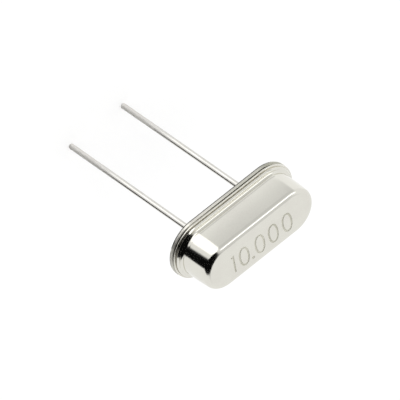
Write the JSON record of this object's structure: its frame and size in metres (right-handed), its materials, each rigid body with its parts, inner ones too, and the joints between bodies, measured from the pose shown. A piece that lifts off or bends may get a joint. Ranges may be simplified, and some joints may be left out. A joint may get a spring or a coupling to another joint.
{
  "type": "quartz crystal",
  "caption": "Low-profile quartz crystal in a welded metal case with round ends, a flange and straight wire leads for a circuit board.",
  "frame": {"origin": "middle of the seating plane, the flat underside of the base, midway between the leads", "axes": "+Z out of the cap's top, X along the case and the row of leads, Y across the case"},
  "size_m": [0.011, 0.0048, 0.0169],
  "materials": {
    "cap_metal": "bright nickel plate over steel, faint drawing lines",
    "base_metal": "nickel plate over steel, stamped edges",
    "seal_glass": "dark sealing glass, glossy",
    "lead_metal": "plated iron alloy wire with fine die lines",
    "clip_metal": "thin nickel spring strip",
    "quartz": "lapped quartz, slightly frosted",
    "electrode_film": "evaporated silver film",
    "adhesive": "silver-filled conductive adhesive"
  },
  "bodies": {
    "root": {"cap": "cap_metal", "base": "base_metal", "glass_seal_left": "seal_glass", "glass_seal_right": "seal_glass", "lead_left": "lead_metal", "lead_right": "lead_metal", "clip_left": "clip_metal", "clip_right": "clip_metal", "quartz_blank": "quartz", "electrode_top": "electrode_film", "electrode_bottom": "electrode_film", "adhesive_left": "adhesive", "adhesive_right": "adhesive"}
  },
  "joints": []
}
